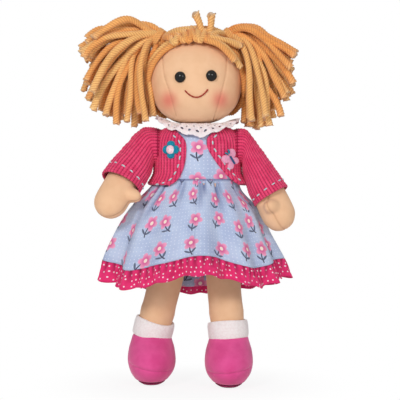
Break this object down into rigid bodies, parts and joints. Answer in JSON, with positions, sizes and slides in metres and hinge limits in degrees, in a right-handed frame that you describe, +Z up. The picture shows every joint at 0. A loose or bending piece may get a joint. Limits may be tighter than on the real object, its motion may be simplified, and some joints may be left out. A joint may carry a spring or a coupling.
{
  "type": "rag doll",
  "caption": "Standing stuffed rag doll with yarn bunches, printed dress with a gathered frill, lace collar, knitted cardigan, sock cuffs and cloth shoes; head, arms and legs move.",
  "frame": {"origin": "on the floor, under the middle of the doll's box", "axes": "+Z up, -Y the way the doll faces, +X the doll's left"},
  "size_m": [0.2076, 0.1242, 0.3447],
  "materials": {
    "skin_cloth": "brushed cotton jersey, matt",
    "hair_yarn": "plied acrylic yarn, soft",
    "eye_plastic": "polished black dome",
    "washer_plastic": "moulded, plain",
    "mouth_thread": "embroidery cotton",
    "dress_print": "printed cotton, pin dots and small blossoms",
    "frill_cotton": "cotton with white pin dots",
    "lace": "gathered cotton lace",
    "fastening_tape": "hook and loop tape",
    "cardigan_knit": "ribbed knit",
    "teal_felt": "felt",
    "speckled_pink": "felt with speckled stitches",
    "pink_felt": "felt",
    "navy_thread": "rolled thread",
    "sock_fleece": "brushed fleece",
    "shoe_cloth": "brushed cotton cloth",
    "sole_cloth": "flat felted cloth"
  },
  "bodies": {
    "torso": {"torso": "skin_cloth", "dress_bodice": "dress_print", "back_fastening_strip": "fastening_tape", "dress_skirt": "dress_print", "dress_hem_frill": "frill_cotton", "lace_collar": "lace", "cardigan_back": "cardigan_knit", "cardigan_left_front": "cardigan_knit", "cardigan_right_front": "cardigan_knit", "flower_petals": "teal_felt", "flower_centre": "speckled_pink", "butterfly_wings": "pink_felt", "butterfly_body": "navy_thread"},
    "neck": {"neck": "skin_cloth"},
    "head": {"head": "skin_cloth", "left_eye": "eye_plastic", "left_eye_washer": "washer_plastic", "right_eye": "eye_plastic", "right_eye_washer": "washer_plastic", "mouth_stitch": "mouth_thread", "hair_cap": "hair_yarn", "fringe": "hair_yarn", "fringe_tuft_left": "hair_yarn", "fringe_tuft_right": "hair_yarn", "left_bunch": "hair_yarn", "left_bunch_tie": "hair_yarn", "right_bunch": "hair_yarn", "right_bunch_tie": "hair_yarn"},
    "left_arm": {"left_arm": "skin_cloth", "left_sleeve": "cardigan_knit"},
    "right_arm": {"right_arm": "skin_cloth", "right_sleeve": "cardigan_knit"},
    "left_leg": {"left_leg": "skin_cloth", "left_sock_cuff": "sock_fleece", "left_shoe": "shoe_cloth", "left_shoe_sole": "sole_cloth"},
    "right_leg": {"right_leg": "skin_cloth", "right_sock_cuff": "sock_fleece", "right_shoe": "shoe_cloth", "right_shoe_sole": "sole_cloth"}
  },
  "joints": [
    {"name": "neck_turn", "type": "hinge", "parent": "torso", "child": "neck", "pos_m": [0.00462, 0.00119, 0.25027], "axis": [0, 0, 1], "range_deg": [-40, 40]},
    {"name": "neck_nod", "type": "hinge", "parent": "neck", "child": "head", "pos_m": [0.00462, 0.00119, 0.25027], "axis": [1, 0, 0], "range_deg": [-15, 15]},
    {"name": "left_shoulder", "type": "hinge", "parent": "torso", "child": "left_arm", "pos_m": [0.04094, 0.00119, 0.2216], "axis": [-1, 0, 0], "range_deg": [-45, 75]},
    {"name": "right_shoulder", "type": "hinge", "parent": "torso", "child": "right_arm", "pos_m": [-0.0317, 0.00119, 0.2216], "axis": [-1, 0, 0], "range_deg": [-60, 55]},
    {"name": "left_hip", "type": "hinge", "parent": "torso", "child": "left_leg", "pos_m": [0.02562, 0.00119, 0.132], "axis": [-1, 0, 0], "range_deg": [-30, 80], "deforming": ["dress_skirt", "dress_hem_frill"]},
    {"name": "right_hip", "type": "hinge", "parent": "torso", "child": "right_leg", "pos_m": [-0.01638, 0.00119, 0.132], "axis": [-1, 0, 0], "range_deg": [-30, 80], "deforming": ["dress_skirt", "dress_hem_frill"]}
  ]
}
